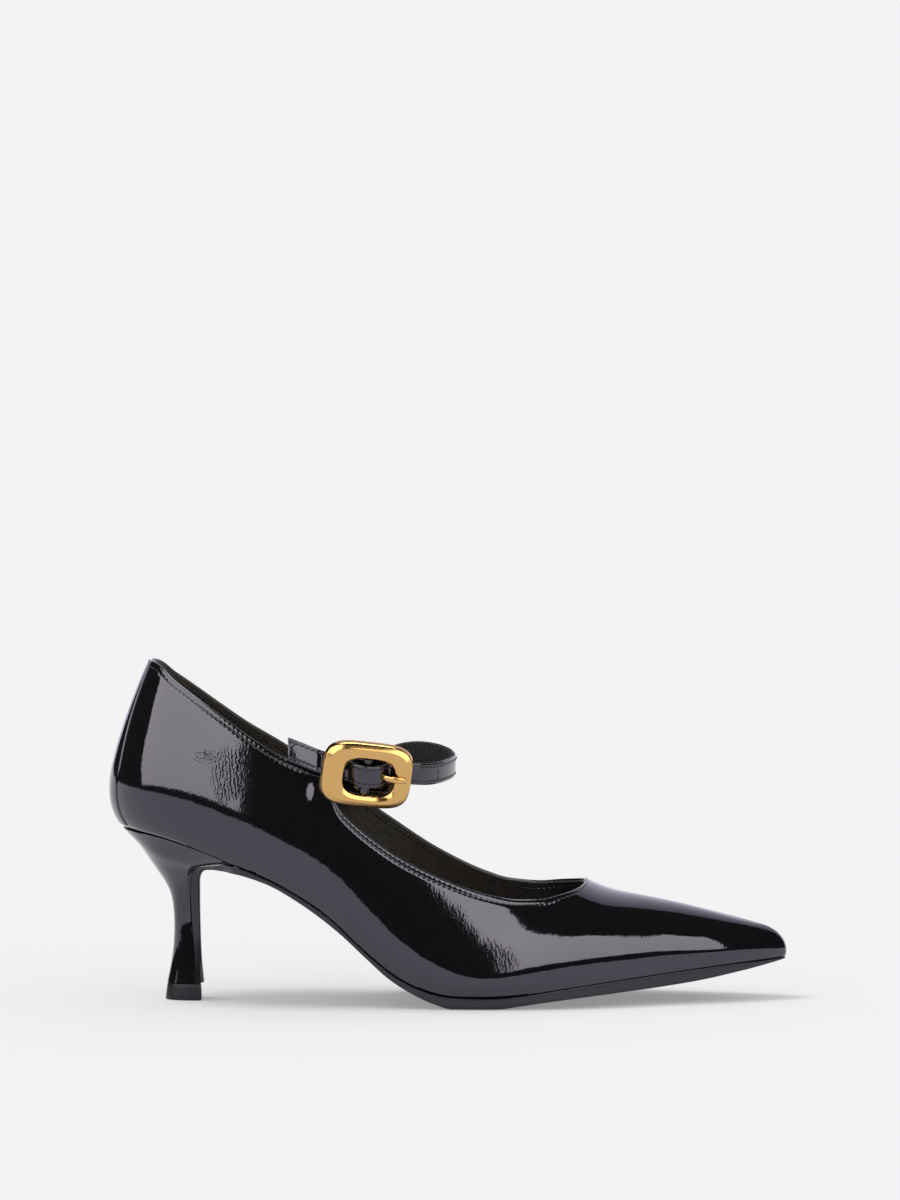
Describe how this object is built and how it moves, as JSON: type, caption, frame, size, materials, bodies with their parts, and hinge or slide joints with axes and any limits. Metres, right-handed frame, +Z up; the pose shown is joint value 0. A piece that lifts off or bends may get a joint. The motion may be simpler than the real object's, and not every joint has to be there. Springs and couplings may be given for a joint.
{
  "type": "kitten heel pump",
  "caption": "Pointed pump of crinkle patent with a slim curved heel, an instep strap and a rounded metal buckle, open at collar and throat.",
  "frame": {"origin": "on the floor under the middle of the shoe's box", "axes": "+X towards the toe, +Y towards the inner side of the foot, +Z up"},
  "size_m": [0.2436, 0.0772, 0.1231],
  "materials": {
    "upper": "crinkle patent, mirror gloss",
    "outsole": "satin, faint moulded grain",
    "insole": "matt grained sock",
    "heel": "patent cover, gloss",
    "top_piece": "matt",
    "strap": "patent face, matt back",
    "buckle_tab": "patent",
    "buckle_frame": "polished gold plate",
    "buckle_prong": "polished gold plate"
  },
  "bodies": {
    "root": {"upper": "upper", "outsole": "outsole", "insole": "insole", "heel": "heel", "top_piece": "top_piece", "strap": "strap", "buckle_tab": "buckle_tab", "buckle_frame": "buckle_frame", "buckle_prong": "buckle_prong"}
  },
  "joints": []
}
